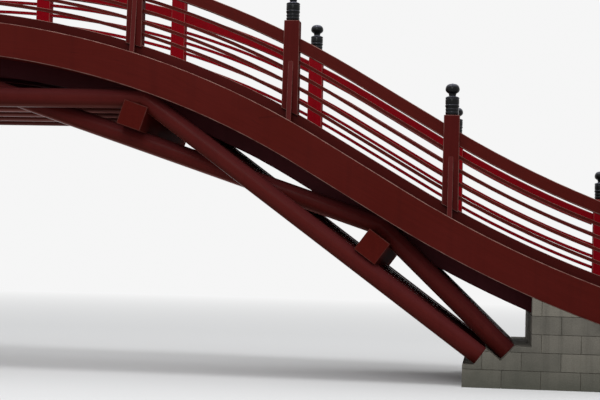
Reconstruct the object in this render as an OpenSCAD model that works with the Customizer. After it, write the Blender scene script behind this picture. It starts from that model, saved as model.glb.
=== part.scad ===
// Arched timber footbridge, all sizes in millimetres.
// Two interlaced sets of round logs, locked by square cross beams, carry curved
// girders, a boarded and stepped deck and a post-and-rail parapet on each side.
// X runs along the bridge, Y across it and Z up. The origin is at mid-span on the
// ground line, and the bridge is the same on both sides of mid-span and midline.

/* [Deck line] */
// Height of the edge girder's top at mid-span
crown_h = 4810; // [4600:10:5000]
// Radius of the crown arc of the edge girder's top
crown_r = 11380; // [11000:10:12400]
// Slope of the straight flanks, in degrees
flank_slope = 30.5; // [29:0.5:32]
// Level length of each straight flank
flank_run = 1210; // [700:10:1400]
// Radius of the reverse curve that eases each flank into its landing
flare_r = 14500; // [12000:100:16000]

/* [Bays and posts] */
// Distance between the centres of neighbouring posts
bay_l = 2160; // [2050:5:2200]
// Distance between the centre planes of the two parapets
parapet_gap = 2820; // [2750:10:3000]
// Side of the square posts
post_w = 200; // [160:5:240]
// Height of a post's top above the edge girder's top
post_h = 1350; // [1250:10:1500]
// How far a post's foot laps down over the curb
post_lap = 35; // [20:5:60]
// Width of the raking strut on a post's outer face
strut_w = 65; // [45:5:90]
// Thickness of the raking strut
strut_t = 45; // [30:1:60]
// How far below the post's top the raking strut starts
strut_drop = 550; // [400:10:650]

/* [Parapet rails] */
// Height of the handrail's top above the edge girder's top, square to the curve
handrail_h = 1020; // [950:10:1100]
// Depth of the handrail
handrail_t = 145; // [120:5:170]
// Width of the handrail
handrail_w = 105; // [90:5:140]
// Number of slender rails below the handrail
rail_n = 4; // [3:1:5]
// Side of the slender rails
rail_t = 45; // [35:1:55]
// Distance between the centres of neighbouring rails
rail_gap = 156; // [140:1:170]
// Height of the lowest rail's centre above the curb
rail_low = 150; // [100:1:160]

/* [Girders and curb] */
// Depth of the edge girder
girder_h = 460; // [420:5:520]
// Width of the edge girder
girder_w = 300; // [260:10:340]
// Height of the curb above the edge girder
curb_h = 136; // [110:1:170]
// Width of the curb
curb_w = 150; // [120:5:170]
// Depth from the edge girder's top to the underside of the inner girders
stringer_low = 655; // [610:5:700]
// Depth from the edge girder's top to the top of the inner girders
stringer_top = 190; // [170:5:220]
// Width of the inner girders
stringer_w = 160; // [120:5:180]
// Open joint between neighbouring lengths of a girder, curb or carriage
splice = 4; // [2:1:8]

/* [Deck] */
// Depth of the walking surface below the edge girder's top
deck_drop = 60; // [40:5:80]
// Thickness of the boards
board_t = 45; // [35:1:50]
// Thickness of the risers
riser_t = 25; // [18:1:35]
// How far a step's board stands out past its riser
nosing = 20; // [0:1:30]
// Width of the sawn carriages that carry the boards
carriage_w = 60; // [45:5:80]
// Number of boards or steps in each bay
treads_per_bay = 8; // [7:1:9]
// Number of level boards on each side of mid-span before the steps begin
crown_boards = 8; // [6:1:10]
// Open joint between neighbouring boards or steps
tread_joint = 6; // [4:1:10]

/* [Woven logs] */
// Diameter of the logs
log_d = 265; // [250:5:275]
// Distance between neighbouring logs of one set, across the bridge
log_pitch = 662; // [630:1:700]
// Depth to which a log and a cross beam are let into each other
housing = 18; // [10:1:30]
// Depth to which the mid-span beam is let into the logs above and below it
crown_housing = 41; // [35:1:60]
// Depth to which the mid-span beam is let into the inner girders
girder_housing = 10; // [5:1:25]
// Side of the square cross beams
beam_w = 341; // [320:1:360]
// How far a cross beam's ends stand out past the outermost log
beam_proud = 25; // [10:5:60]
// Distance of the first set's knee from mid-span
outer_knee_x = 3381; // [3300:1:3500]
// Distance of the second set's knee from mid-span
inner_knee_x = 6625; // [6500:5:6720]
// How far the upper cross beam lies towards mid-span from its knee
upper_beam_lead = 55; // [40:1:110]
// How far the lower cross beam lies down the slope from its knee
lower_beam_lead = 109; // [60:1:130]

/* [Abutments] */
// Distance of the first set's log feet from mid-span
outer_foot_x = 7993; // [7900:1:8100]
// Height of the first set's log feet at their centre
outer_foot_z = 393; // [370:1:430]
// How far the second set's log feet stand behind the first set's
foot_stagger = 360; // [340:1:420]
// Height of the second set's log feet above the first set's, at their centres
foot_step = 52; // [35:1:80]
// Length of the toe in front of the log feet
toe_l = 150; // [80:10:250]
// How far the abutment's front wall stands behind the second set's log feet
wall_gap = 300; // [260:10:400]
// Length of the landing wall behind the deck's end
landing_l = 300; // [200:10:400]
// How far the abutment stands out past the edge girders on each side
abutment_proud = 60; // [20:10:150]

/* [Finials] */
// Diameter of the finial's drum
drum_d = 188; // [160:2:196]
// Height of the finial's drum
drum_h = 226; // [200:2:260]
// Diameter of the flattened ball
ball_d = 190; // [150:2:196]
// Height of the whole finial
finial_h = 430; // [400:5:460]

/* [Hidden] */
BAYS = 9;
SIDES = ["front", "back"];
SIGNS = [-1, 1];
ENDS = ["left", "right"];
// Size of the blocks that trim a log's ends, and the lap of two copes at a knee
BIG = 2000;
knee_lap = 5;

log_r = log_d / 2;
tread_l = bay_l / treads_per_bay;
tread_n = round((BAYS / 2) * treads_per_bay) + 1;
deck_end = tread_n * tread_l;
post_x = [for (i = [0:BAYS]) (i - BAYS / 2) * bay_l];
parapet_y = parapet_gap / 2;
girder_in = parapet_y - post_w / 2;
girder_out = girder_in + girder_w;
curb_out = girder_in + curb_w;
outer_columns = [for (i = [-2:2]) i * log_pitch];
inner_columns = [for (i = [-1.5:1:1.5]) i * log_pitch];
stringer_columns = [-log_pitch, 0, log_pitch];
beam_end = 2 * log_pitch + log_r + beam_proud;

// Where the straight flanks begin and end, and the centre of the reverse curve
flank_x = crown_r * sin(flank_slope);
flank_z = crown_h - crown_r * (1 - cos(flank_slope));
flare_x = flank_x + flank_run;
flare_z = flank_z - flank_run * tan(flank_slope);
flare_cx = flare_x + flare_r * sin(flank_slope);
flare_cz = flare_z + flare_r * cos(flank_slope);

// Height at station x of the line that lies a distance above the girder's top
function line_z(x, up = 0) =
    let (a = abs(x), s = up * sin(flank_slope))
    a <= flank_x + s ? crown_h - crown_r + sqrt(pow(crown_r + up, 2) - a * a)
    : a <= flare_x + s
      ? flank_z + up / cos(flank_slope) - (a - flank_x) * tan(flank_slope)
      : flare_cz - sqrt(pow(flare_r - up, 2) - pow(a - flare_cx, 2));

// Height at x on the chords of that line between the ends of the boards
function chord_z(x, up = 0) =
    let (i = floor(x / tread_l), a = i * tread_l, t = (x - a) / tread_l)
    line_z(a, up) * (1 - t) + line_z(a + tread_l, up) * t;

// Stations from x0 to x1 with every board's end between them
function stations(x0, x1) = concat([x0],
    [for (i = [floor(x0 / tread_l) + 1:ceil(x1 / tread_l) - 1]) i * tread_l], [x1]);
function reversed(v) = [for (i = [len(v) - 1:-1:0]) v[i]];

// The first set's logs: one level log between two raking ones
crown_beam_z = crown_h - stringer_low + girder_housing - beam_w / 2;
outer_z = crown_beam_z - beam_w / 2 + crown_housing - log_r;
outer_slope = atan((outer_z - outer_foot_z) / (outer_foot_x - outer_knee_x));
outer_knee = [outer_knee_x, outer_z];
outer_foot = [outer_foot_x, outer_foot_z];
inner_foot = outer_foot + [foot_stagger, foot_step];
wall_x = inner_foot[0] + wall_gap;

// The second set's logs meet over mid-span and bend over the lower cross beam
inner_top = [0, crown_beam_z + beam_w / 2 - crown_housing + log_r];
knee_rise = 2 * log_r + beam_w - 2 * housing;
inner_knee = [inner_knee_x, outer_z + knee_rise / cos(outer_slope)
    - (inner_knee_x - outer_knee_x) * tan(outer_slope)];
upper_slope = atan((inner_top[1] - inner_knee[1]) / inner_knee[0]);
lower_slope = atan((inner_knee[1] - inner_foot[1]) / (inner_foot[0] - inner_knee[0]));

// A cross beam rests on the log below it, near the knee of the log above it
function along(p, slope, run, rise) =
    p + run * [cos(slope), -sin(slope)] + rise * [sin(slope), cos(slope)];
beam_rise = log_r + beam_w / 2 - housing;
function foot_on(p, base, slope) =
    along(base, slope, (p - base) * [cos(slope), -sin(slope)], 0);
upper_beam = along(foot_on(outer_knee, inner_top, upper_slope), upper_slope,
    -upper_beam_lead, beam_rise);
lower_beam = along(foot_on(inner_knee, outer_knee, outer_slope), outer_slope,
    lower_beam_lead, beam_rise);

// Lengths between the joints at the given stations, from one deck end to the other
function lengths(joints) =
    let (x = concat([-deck_end], joints, [deck_end]), last = len(x) - 2)
    [for (i = [0:last]) [x[i] + (i > 0 ? splice / 2 : 0), x[i + 1] - (i < last ? splice / 2 : 0)]];
beam_joints = [-lower_beam[0], -upper_beam[0], upper_beam[0], lower_beam[0]];
knee_joints = [-outer_knee_x, outer_knee_x];
post_joints = [for (i = [1:BAYS - 1]) post_x[i]];

// Walking height of step i, and the sawn top of a carriage from mid-span outwards
function step_z(i) = line_z(i * tread_l, 0) - deck_drop;
carriage_top = concat(
    [for (i = [0:crown_boards]) [i * tread_l, step_z(i) - board_t]],
    [for (i = [crown_boards:tread_n - 1], k = [0, 1])
        [(i + 1) * tread_l - tread_joint / 2 - riser_t, step_z(i + k) - board_t]],
    [[deck_end, step_z(tread_n) - board_t]]);
carriage_rows = concat(stringer_columns,
    [for (s = SIGNS) s * (girder_in - carriage_w / 2)]);

module red() { color([0.40, 0.10, 0.08]) children(); }
module black() { color([0.07, 0.07, 0.08]) children(); }
module stone() { color([0.52, 0.50, 0.46]) children(); }
module board() { color([0.34, 0.15, 0.11]) children(); }

// The left half of the bridge mirrors the right half
module side(end) { mirror([end == "left" ? 1 : 0, 0, 0]) children(); }

// A profile drawn in X and Z, from y0 to y1 across the bridge
module across(y0, y1) {
    translate([0, y1, 0]) rotate([90, 0, 0]) linear_extrude(y1 - y0) children();
}

// A band of the curve between two distances from the edge girder's top
module band(x0, x1, low, high) {
    xs = stations(x0, x1);
    polygon(concat(
        [for (x = xs) [x, chord_z(x, low)]],
        [for (x = reversed(xs)) [x, chord_z(x, high)]]));
}

// A log from a to b, mitred at each end to a plane whose normal slopes by the angle
module log_between(a, b, y, slope, cut_a, cut_b) {
    run = norm(b - a);
    difference() {
        translate([a[0], y, a[1]]) rotate([0, 90 + slope, 0])
            translate([0, 0, -log_d]) cylinder(h = run + 2 * log_d, r = log_r, $fn = 48);
        translate([a[0], y, a[1]]) rotate([0, cut_a, 0])
            translate([-BIG, -log_d, -BIG / 2]) cube([BIG, 2 * log_d, BIG]);
        translate([b[0], y, b[1]]) rotate([0, cut_b, 0])
            translate([0, -log_d, -BIG / 2]) cube([BIG, 2 * log_d, BIG]);
    }
}

// A square cross beam centred at p and turned to a slope
module beam(p, slope) {
    translate([p[0], 0, p[1]]) rotate([0, slope, 0])
        translate([-beam_w / 2, -beam_end, -beam_w / 2])
            cube([beam_w, 2 * beam_end, beam_w]);
}
module crown_beam_form() { beam([0, crown_beam_z], 0); }
module upper_beam_form() { beam(upper_beam, upper_slope); }
module lower_beam_form() { beam(lower_beam, outer_slope); }

// An edge girder, in three lengths that meet over the outermost logs' knees
module edge_girder_form(sign, joints = []) {
    mirror([0, sign < 0 ? 1 : 0, 0]) across(girder_in, girder_out)
        for (r = lengths(joints)) band(r[0], r[1], -girder_h, 0);
}

module abutment(end) {
    toe_x = outer_foot_x - log_r * sin(outer_slope) - toe_l;
    side_y = girder_out + abutment_proud;
    landing_z = step_z(tread_n);
    stone() side(end) {
        across(-side_y, side_y) polygon(concat(
            [[toe_x, 0], [toe_x, outer_foot_z - log_r * cos(outer_slope)],
             along(outer_foot, outer_slope, 0, -log_r),
             along(outer_foot, outer_slope, 0, log_r),
             along(inner_foot, lower_slope, 0, -log_r),
             along(inner_foot, lower_slope, 0, log_r),
             [wall_x, inner_foot[1] + log_r * cos(lower_slope)]],
            [for (x = stations(wall_x, deck_end)) [x, chord_z(x, -stringer_low)]],
            [[deck_end, landing_z], [deck_end + landing_l, landing_z],
             [deck_end + landing_l, 0]]));
        for (s = SIGNS) mirror([0, s < 0 ? 1 : 0, 0])
            across(girder_in, side_y) band(wall_x, deck_end, -stringer_low, -girder_h);
    }
}

module level_logs() {
    red() difference() {
        for (y = outer_columns)
            log_between([-outer_knee_x, outer_z], outer_knee, y, 0,
                -outer_slope / 2, outer_slope / 2);
        crown_beam_form();
        for (e = ENDS) side(e) upper_beam_form();
        for (s = SIGNS) edge_girder_form(s);
    }
}

module raking_logs(end) {
    red() side(end) difference() {
        for (y = outer_columns)
            log_between(outer_knee, outer_foot, y, outer_slope, outer_slope / 2, outer_slope);
        upper_beam_form();
        lower_beam_form();
        for (s = SIGNS) edge_girder_form(s);
    }
}

module upper_logs(end) {
    red() side(end) difference() {
        for (y = inner_columns)
            log_between(inner_top, inner_knee, y, upper_slope, 0,
                (upper_slope + lower_slope) / 2);
        crown_beam_form();
        upper_beam_form();
        lower_beam_form();
    }
}

module lower_logs(end) {
    red() side(end) difference() {
        for (y = inner_columns)
            log_between(inner_knee, inner_foot, y, lower_slope,
                (upper_slope + lower_slope) / 2, lower_slope);
        lower_beam_form();
    }
}

module crown_beam() { red() crown_beam_form(); }
module upper_cross_beam(end) { red() side(end) upper_beam_form(); }
module lower_cross_beam(end) { red() side(end) lower_beam_form(); }

// Inner girders, coped over the knees of the logs and jointed over the cross beams
module inner_girders() {
    red() difference() {
        for (y = stringer_columns, r = lengths(beam_joints))
            across(y - stringer_w / 2, y + stringer_w / 2)
                band(r[0], r[1], -stringer_low, -stringer_top);
        crown_beam_form();
        for (e = ENDS) side(e) {
            upper_beam_form();
            lower_beam_form();
            for (y = stringer_columns) {
                log_between([outer_knee_x / 2, outer_z], outer_knee + [knee_lap, 0], y, 0, 0,
                    outer_slope / 2);
                log_between(outer_knee, outer_foot, y, outer_slope,
                    outer_slope / 2, outer_slope);
            }
        }
    }
}

// Carriages, curved under the crown boards and sawn to a stair's notches below them
module deck_carriages() {
    profile = concat(
        [for (p = reversed(carriage_top)) [-p[0], p[1]]],
        [for (i = [1:len(carriage_top) - 1]) carriage_top[i]],
        [for (x = reversed(stations(-deck_end, deck_end))) [x, chord_z(x, -stringer_top)]]);
    red() for (y = carriage_rows, r = lengths(beam_joints))
        across(y - carriage_w / 2, y + carriage_w / 2) intersection() {
            polygon(profile);
            translate([r[0], 0]) square([r[1] - r[0], crown_h]);
        }
}

// Boards that follow the curve on both sides of mid-span
module crown_boards() {
    half = tread_joint / 2;
    board() for (i = [-crown_boards:crown_boards - 1])
        let (x0 = i * tread_l + half, x1 = (i + 1) * tread_l - half,
            z0 = chord_z(x0) - deck_drop, z1 = chord_z(x1) - deck_drop)
        across(-girder_in, girder_in)
            polygon([[x0, z0 - board_t], [x1, z1 - board_t], [x1, z1], [x0, z0]]);
}

// Steps, each a level board with its riser; the nosing needs room over the next board
module steps(end) {
    half = tread_joint / 2;
    board() side(end) for (i = [crown_boards:tread_n - 1])
        let (x0 = i * tread_l + half, x1 = (i + 1) * tread_l - half, z = step_z(i),
            low = step_z(i + 1), lip = z - low > board_t + half ? nosing : 0)
        across(-girder_in, girder_in) polygon([
            [x0, z], [x0, z - board_t], [x1 - riser_t, z - board_t],
            [x1 - riser_t, low - board_t], [x1, low - board_t], [x1, z - board_t],
            [x1 + lip, z - board_t], [x1 + lip, z]]);
}

module edge_girder(sign) { red() edge_girder_form(sign, knee_joints); }

// A curb, in lengths that meet under the posts
module curb_form(sign, joints = []) {
    mirror([0, sign < 0 ? 1 : 0, 0]) across(girder_in, curb_out)
        for (r = lengths(joints)) band(r[0], r[1], 0, curb_h);
}
module curb(sign) { red() curb_form(sign, post_joints); }

// Square posts, cut to the slope and notched so that an outer cheek laps over the curb
module posts(sign) {
    half = post_w / 2;
    red() difference() {
        mirror([0, sign < 0 ? 1 : 0, 0]) for (x = post_x)
            let (top = line_z(x, 0) + post_h)
            across(parapet_y - half, parapet_y + half) polygon([
                [x - half, line_z(x - half, curb_h) - post_lap],
                [x + half, line_z(x + half, curb_h) - post_lap],
                [x + half, top], [x - half, top]]);
        curb_form(sign);
    }
}

// Raking struts from the posts' outer faces down to the edge girder's outer arris
module post_struts(sign) {
    face = parapet_y + post_w / 2;
    red() difference() {
        for (x = post_x)
            let (top = line_z(x, 0) + post_h - strut_drop, foot = line_z(abs(x) + strut_w, 0) - 50)
            mirror([0, sign < 0 ? 1 : 0, 0]) translate([x - strut_w / 2, 0, 0])
                rotate([90, 0, 90]) linear_extrude(strut_w) polygon([
                    [face, top], [girder_out, foot], [girder_out - strut_t, foot],
                    [face, top - strut_t * (top - foot) / (girder_out - face)]]);
        edge_girder_form(sign);
    }
}

// Half outline of a finial: ringed drum, collar, neck, and a ball domed above and
// flatter below, with a low tip
module finial_outline() {
    r = drum_d / 2;
    ball_r = ball_d / 2;
    groove = 7;
    ring_t = drum_h * 0.12;
    collar_t = 26;
    ball_z = finial_h - 92;
    union() {
        square([r - groove, drum_h]);
        for (z = [0.08, 0.28, 0.49]) translate([0, drum_h * z]) square([r, ring_t]);
        translate([0, drum_h * 0.66]) square([r - 2, drum_h * 0.30]);
        translate([0, drum_h]) square([r - 1, collar_t]);
        square([r * 0.5, ball_z]);
        for (half = [[0, 0.84], [-ball_r, 0.62]]) intersection() {
            translate([0, ball_z]) scale([1, half[1]]) circle(r = ball_r, $fn = 48);
            translate([0, ball_z + half[0]]) square(ball_r + 1);
        }
        polygon([[0, ball_z], [ball_r * 0.3, ball_z + ball_r * 0.79],
            [ball_r * 0.12, finial_h - 5], [0, finial_h]]);
    }
}

module finials() {
    black() for (s = SIGNS, x = post_x)
        translate([x, s * parapet_y, line_z(x, 0) + post_h])
            rotate_extrude($fn = 48) finial_outline();
}

// One bay of parapet: a handrail and slender rails that follow the curve
module railing(bay, sign) {
    x0 = post_x[bay - 1] + post_w / 2;
    x1 = post_x[bay] - post_w / 2;
    red() mirror([0, sign < 0 ? 1 : 0, 0]) {
        across(parapet_y - handrail_w / 2, parapet_y + handrail_w / 2)
            band(x0, x1, handrail_h - handrail_t, handrail_h);
        for (i = [0:rail_n - 1])
            let (mid = curb_h + rail_low + i * rail_gap)
            across(parapet_y - rail_t / 2, parapet_y + rail_t / 2)
                band(x0, x1, mid - rail_t / 2, mid + rail_t / 2);
    }
}

abutment("left");  // abutment_left
abutment("right");  // abutment_right
level_logs();
raking_logs("left");  // raking_logs_left
raking_logs("right");  // raking_logs_right
upper_logs("left");  // upper_logs_left
upper_logs("right");  // upper_logs_right
lower_logs("left");  // lower_logs_left
lower_logs("right");  // lower_logs_right
crown_beam();
upper_cross_beam("left");  // upper_beam_left
upper_cross_beam("right");  // upper_beam_right
lower_cross_beam("left");  // lower_beam_left
lower_cross_beam("right");  // lower_beam_right
inner_girders();
deck_carriages();
crown_boards();
steps("left");  // steps_left
steps("right");  // steps_right
edge_girder(-1);  // edge_girder_front
edge_girder(1);  // edge_girder_back
curb(-1);  // curb_front
curb(1);  // curb_back
posts(-1);  // posts_front
posts(1);  // posts_back
post_struts(-1);  // post_struts_front
post_struts(1);  // post_struts_back
finials();
for (i = [1:BAYS]) {
    railing(i, -1);
    railing(i, 1);
}
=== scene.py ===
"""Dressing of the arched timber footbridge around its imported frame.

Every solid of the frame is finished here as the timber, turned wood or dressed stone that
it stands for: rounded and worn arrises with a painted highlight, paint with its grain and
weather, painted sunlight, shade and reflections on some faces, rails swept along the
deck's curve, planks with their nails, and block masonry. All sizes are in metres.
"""

from __future__ import annotations

import logging
import math
import random
from dataclasses import dataclass, field
from enum import Enum
from functools import cache
from typing import Callable, Iterable, Sequence

import bmesh
import bpy
import numpy as np
from mathutils import Matrix, Vector


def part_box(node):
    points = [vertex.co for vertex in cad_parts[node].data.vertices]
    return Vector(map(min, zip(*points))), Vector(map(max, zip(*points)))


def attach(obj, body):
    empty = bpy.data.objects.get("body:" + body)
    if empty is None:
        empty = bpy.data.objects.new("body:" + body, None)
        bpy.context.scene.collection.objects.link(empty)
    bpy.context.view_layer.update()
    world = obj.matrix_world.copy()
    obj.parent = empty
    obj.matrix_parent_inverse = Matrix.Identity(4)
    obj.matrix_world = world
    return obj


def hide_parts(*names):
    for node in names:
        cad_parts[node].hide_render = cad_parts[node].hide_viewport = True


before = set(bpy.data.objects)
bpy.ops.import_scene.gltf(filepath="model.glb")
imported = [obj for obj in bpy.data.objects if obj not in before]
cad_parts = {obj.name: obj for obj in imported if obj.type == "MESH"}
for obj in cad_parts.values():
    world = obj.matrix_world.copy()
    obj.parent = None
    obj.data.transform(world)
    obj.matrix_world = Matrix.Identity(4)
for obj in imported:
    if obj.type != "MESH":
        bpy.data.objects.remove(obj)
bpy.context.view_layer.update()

LOG = logging.getLogger("footbridge")
Colour = tuple[float, float, float]
# A height and a radius on the outline of turned wood.
Point = tuple[float, float]
Node = bpy.types.Node
Socket = bpy.types.NodeSocket
Material = bpy.types.Material
Object = bpy.types.Object
Solid = bmesh.types.BMesh
Corner = bmesh.types.BMVert
Edge = bmesh.types.BMEdge

SIDES = ("front", "back")
ENDS = ("left", "right")
BAYS = 9
# Points nearer to each other than this are one point.
WELD = 1e-5
# Points nearer to a plane than this lie on it.
TOUCH = 1e-4
# Faces that turn by less than this are one flat face.
FLAT_TURN = math.radians(0.4)
# Puts a cutting plane clear of a solid, past its end or below the ground.
BEYOND = 1.0


class Slot(Enum):
    """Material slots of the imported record."""

    RED = "red_paint"
    BLACK = "black_paint"
    BOARD = "deck_boards"
    STONE = "masonry"


class Lay(Enum):
    """How the grain of a timber lies."""

    STRAIGHT = "along the timber's own length"
    CURVED = "along the curve of the deck"


def paint(colour: Colour, share: float = 1.0) -> tuple[float, ...]:
    """Turns a colour as it looks on a screen into the linear values of a shader.

    Args:
        colour: its red, green and blue, 0 to 255.
        share: how bright it is made, as a share of itself.

    Returns:
        Its linear red, green and blue, and a full alpha.
    """
    shown = [value * share / 255 for value in colour]
    return (*(((c + 0.055) / 1.055) ** 2.4 if c > 0.04 else c / 12.92 for c in shown), 1.0)


# Node trees


class Tree:
    """Short calls that add nodes to a node tree and link them."""

    def __init__(self, data: bpy.types.NodeTree) -> None:
        """Takes the node tree that the calls work on."""
        self.data = data

    def feed(self, socket: Socket, value: object) -> None:
        """Links or sets one input.

        Args:
            socket: the input.
            value: another node's output, a plain value, or None to leave the input alone.
        """
        if isinstance(value, Socket):
            self.data.links.new(value, socket)
        elif value is not None:
            socket.default_value = value

    def feed_all(self, sockets: bpy.types.bpy_prop_collection, values: dict[str, object]) -> None:
        """Links or sets inputs by their names, with an underscore for each space."""
        for label, value in values.items():
            self.feed(sockets[label.replace("_", " ")], value)

    def node(self, kind: str, inputs: dict[str | int, object] | None = None, **settings: object) -> Node:
        """Adds a node.

        Args:
            kind: the node's type name.
            inputs: values or outputs by input name or number.
            settings: properties of the node.

        Returns:
            The new node.
        """
        made = self.data.nodes.new(kind)
        for key, value in settings.items():
            setattr(made, key, value)
        for key, value in (inputs or {}).items():
            self.feed(made.inputs[key], value)
        return made

    def first(self, kind: str, inputs: dict[str | int, object] | None = None, **settings: object) -> Socket:
        """The first output of a node that is added as by node()."""
        return self.node(kind, inputs, **settings).outputs[0]

    def math(self, operation: str, a: object, b: object = None) -> Socket:
        """The result of one sum on one or two values."""
        return self.first("ShaderNodeMath", {0: a, 1: b}, operation=operation)

    def add(self, a: object, b: object) -> Socket:
        """Two values added."""
        return self.math("ADD", a, b)

    def multiply(self, a: object, b: object) -> Socket:
        """Two values multiplied."""
        return self.math("MULTIPLY", a, b)

    def axis(self, vector: object, number: int) -> Socket:
        """One axis of a vector, counted from 0."""
        return self.node("ShaderNodeSeparateXYZ", {0: vector}).outputs[number]

    def remap(self, value: object, low: float, high: float,
              to_low: float = 0.0, to_high: float = 1.0) -> Socket:
        """A value stretched from one range to another and held inside it."""
        inputs = {0: value, 1: low, 2: high, 3: to_low, 4: to_high}
        return self.first("ShaderNodeMapRange", inputs, clamp=True)


class Shading(Tree):
    """Calls for a tree that shades surfaces."""

    def place(self) -> Socket:
        """Where a point lies, in the object's own coordinates."""
        return self.node("ShaderNodeTexCoord").outputs["Object"]

    def facing(self, number: int) -> Socket:
        """How far the surface faces along one axis, counted from 0."""
        return self.axis(self.node("ShaderNodeNewGeometry").outputs["Normal"], number)

    def attribute(self, name: str, output: str = "Fac") -> Socket:
        """One of the mesh's own attributes."""
        made = self.node("ShaderNodeAttribute", attribute_name=name, attribute_type="GEOMETRY")
        return made.outputs[output]

    def noise(self, vector: object, scale: object, detail: float = 3.0, roughness: float = 0.55) -> Socket:
        """The value of a noise pattern.

        Args:
            vector: where it is taken.
            scale: how fine it is, as one number or as one for each axis.
            detail: how many finer patterns it has.
            roughness: how strong those are.

        Returns:
            The value, about 0 to 1.
        """
        if isinstance(scale, tuple):
            vector, scale = self.first("ShaderNodeMapping", {"Vector": vector, "Scale": scale}), 1.0
        inputs = {"Vector": vector, "Scale": scale, "Detail": detail, "Roughness": roughness}
        return self.first("ShaderNodeTexNoise", inputs)

    def mix(self, mask: object, a: object, b: object, blend: str = "MIX") -> Socket:
        """Two colours mixed by a mask."""
        inputs = {0: mask, 6: a, 7: b}
        return self.node("ShaderNodeMix", inputs, data_type="RGBA", blend_type=blend).outputs[2]

    def layered(self, body: Socket, *layers: tuple[object, Colour]) -> Socket:
        """Lays colours over a body.

        Args:
            body: the colour below.
            layers: the mask and the colour of each layer, from the lowest up.

        Returns:
            The colour on top.
        """
        for mask, colour in layers:
            body = self.mix(mask, body, paint(colour))
        return body


class Effect(Shading):
    """A shader group with named inputs and outputs, built once and placed in many materials."""

    def __init__(self, name: str, inputs: dict[str, float], outputs: Sequence[str]) -> None:
        """Makes the empty group.

        Args:
            name: the group's name.
            inputs: its number inputs with their usual values.
            outputs: its value outputs.
        """
        super().__init__(bpy.data.node_groups.new(name, "ShaderNodeTree"))
        face, kind = self.data.interface, "NodeSocketFloat"
        for label, value in inputs.items():
            face.new_socket(label, in_out="INPUT", socket_type=kind).default_value = value
        for label in outputs:
            face.new_socket(label, in_out="OUTPUT", socket_type=kind)
        self.source = self.node("NodeGroupInput").outputs
        self.ends = self.node("NodeGroupOutput").inputs

    def give(self, **values: Socket) -> Effect:
        """Links the outputs of the group and returns it."""
        self.feed_all(self.ends, values)
        return self

    def use(self, tree: Tree, **values: object) -> bpy.types.bpy_prop_collection:
        """Puts the group in a material's tree.

        Args:
            tree: the material's tree.
            values: the group's inputs, with an underscore for each space.

        Returns:
            The outputs of the placed group.
        """
        placed = tree.node("ShaderNodeGroup", node_tree=self.data)
        tree.feed_all(placed.inputs, values)
        return placed.outputs


@cache
def grain_effect() -> Effect:
    """Streaks and drying checks that run along each timber.

    Returns:
        The group: Streak and Checks are masks, and Height is for a bump.
    """
    inputs = {"Fineness": 1.0, "Check Amount": 0.5}
    tree = Effect("timber_grain", inputs, ("Streak", "Checks", "Height"))
    inputs = {0: tree.attribute("grain", "Vector"), "Scale": tree.source["Fineness"]}
    grain = tree.first("ShaderNodeVectorMath", inputs, operation="SCALE")
    streak = tree.noise(grain, (1.3, 26.0, 26.0), 5.0, 0.62)
    hair = tree.noise(grain, (3.0, 150.0, 150.0), 2.0, 0.5)
    crack = tree.noise(grain, (0.7, 17.0, 17.0), 2.0, 0.45)
    patches = tree.remap(tree.noise(grain, (1.1, 3.0, 3.0), 2.0), 0.53, 0.62)
    off_line = tree.math("ABSOLUTE", tree.math("SUBTRACT", crack, 0.5))
    checks = tree.multiply(tree.remap(off_line, 0.004, 0.012, 1.0, 0.0), patches)
    checks = tree.multiply(checks, tree.source["Check Amount"])
    height = tree.add(tree.multiply(streak, 0.5), tree.multiply(hair, 0.22))
    return tree.give(Streak=streak, Checks=checks, Height=tree.math("SUBTRACT", height, checks))


@cache
def arris_effect() -> Effect:
    """Rubbed arrises, and on painted timber a painted highlight of the sky glinting on them: the marked edge
    faces, broken up along their length.

    Returns:
        The group: Mask is where the edge is worn and, on painted timber, where a highlight is painted.
    """
    tree = Effect("arris_wear_and_highlight", {"Amount": 0.8, "Breakup": 9.0}, ("Mask",))
    patches = tree.noise(tree.place(), tree.source["Breakup"], 4.0, 0.65)
    worn_and_highlit = tree.multiply(tree.attribute("arris"), tree.remap(patches, 0.36, 0.58, 0.35, 1.0))
    return tree.give(Mask=tree.multiply(worn_and_highlit, tree.source["Amount"]))


@cache
def weather_effect() -> Effect:
    """What rain and air leave behind: dust on top, runs down the sides and a slow mottle. On the black
    finials the dust on top also carries a painted highlight of the sky.

    Returns:
        The group: Dust, Runs and Mottle are masks.
    """
    inputs = {"Dust Amount": 0.3, "Run Amount": 0.4, "Mottle Scale": 0.9}
    tree = Effect("weathering", inputs, ("Dust", "Runs", "Mottle"))
    place, upward = tree.place(), tree.facing(2)
    patches = tree.remap(tree.noise(place, 5.0, 5.0, 0.6), 0.35, 0.7, 0.35, 1.0)
    dust_and_sheen = tree.multiply(tree.remap(upward, 0.25, 0.95), patches)
    upright = tree.remap(tree.math("ABSOLUTE", upward), 0.35, 0.75, 1.0, 0.0)
    runs = tree.remap(tree.noise(place, (9.0, 9.0, 0.45), 4.0, 0.6), 0.50, 0.74)
    mottle = tree.noise(place, tree.source["Mottle Scale"], 4.0, 0.6)
    return tree.give(Dust=tree.multiply(dust_and_sheen, tree.source["Dust Amount"]),
                     Runs=tree.multiply(tree.multiply(runs, upright), tree.source["Run Amount"]),
                     Mottle=tree.remap(mottle, 0.3, 0.7))


# Finishes


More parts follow.
